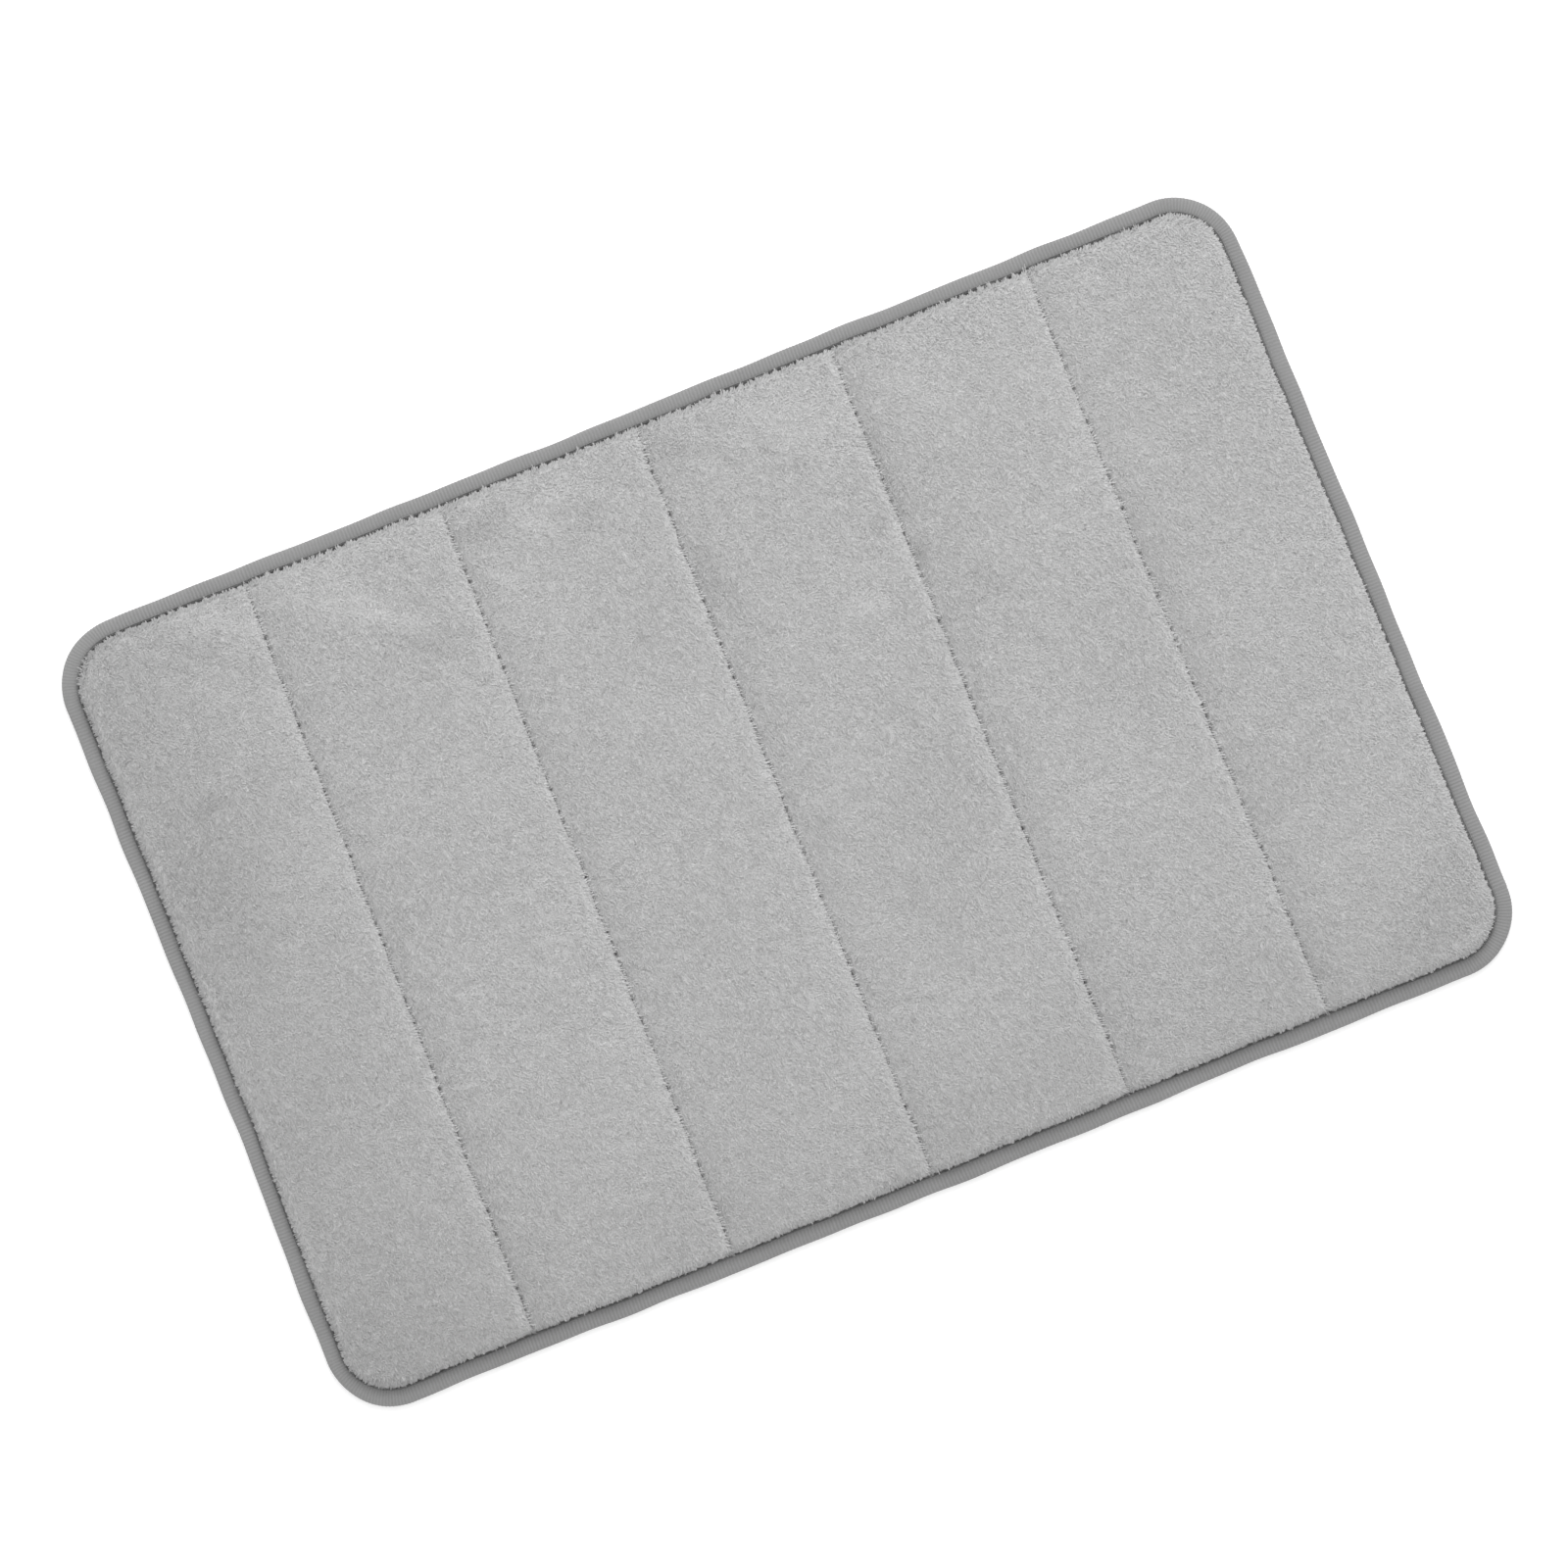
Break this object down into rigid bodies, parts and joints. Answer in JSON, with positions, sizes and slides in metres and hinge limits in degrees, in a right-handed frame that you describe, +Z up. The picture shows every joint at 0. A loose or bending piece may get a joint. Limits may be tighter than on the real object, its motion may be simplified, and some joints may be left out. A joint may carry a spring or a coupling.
{
  "type": "bath mat",
  "caption": "Rectangular padded bath mat with a quilted plush face, foam core, dotted anti-slip underside and a ribbed binding tape round the edge.",
  "frame": {"origin": "middle of the underside, on the floor", "axes": "+X along the length, +Y across the width, +Z up out of the plush face"},
  "size_m": [0.6, 0.4, 0.0154],
  "materials": {
    "plush": "short brushed plush, matt with a soft nap sheen",
    "binding_tape": "ribbed woven tape, matt",
    "sewing_thread": "twisted polyester thread, satin",
    "foam": "open-cell polyurethane foam, matt",
    "backing_fabric": "plain woven polyester, matt",
    "grip_pvc": "soft PVC, satin"
  },
  "bodies": {
    "root": {"grip_layer": "grip_pvc", "backing_cloth": "backing_fabric", "foam_core": "foam", "pile_cover": "plush", "edge_binding": "binding_tape", "binding_needle_thread": "sewing_thread", "binding_bobbin_thread": "sewing_thread", "seam_needle_thread_1": "sewing_thread", "seam_needle_thread_2": "sewing_thread", "seam_needle_thread_3": "sewing_thread", "seam_needle_thread_4": "sewing_thread", "seam_needle_thread_5": "sewing_thread", "seam_bobbin_thread_1": "sewing_thread", "seam_bobbin_thread_2": "sewing_thread", "seam_bobbin_thread_3": "sewing_thread", "seam_bobbin_thread_4": "sewing_thread", "seam_bobbin_thread_5": "sewing_thread"}
  },
  "joints": []
}
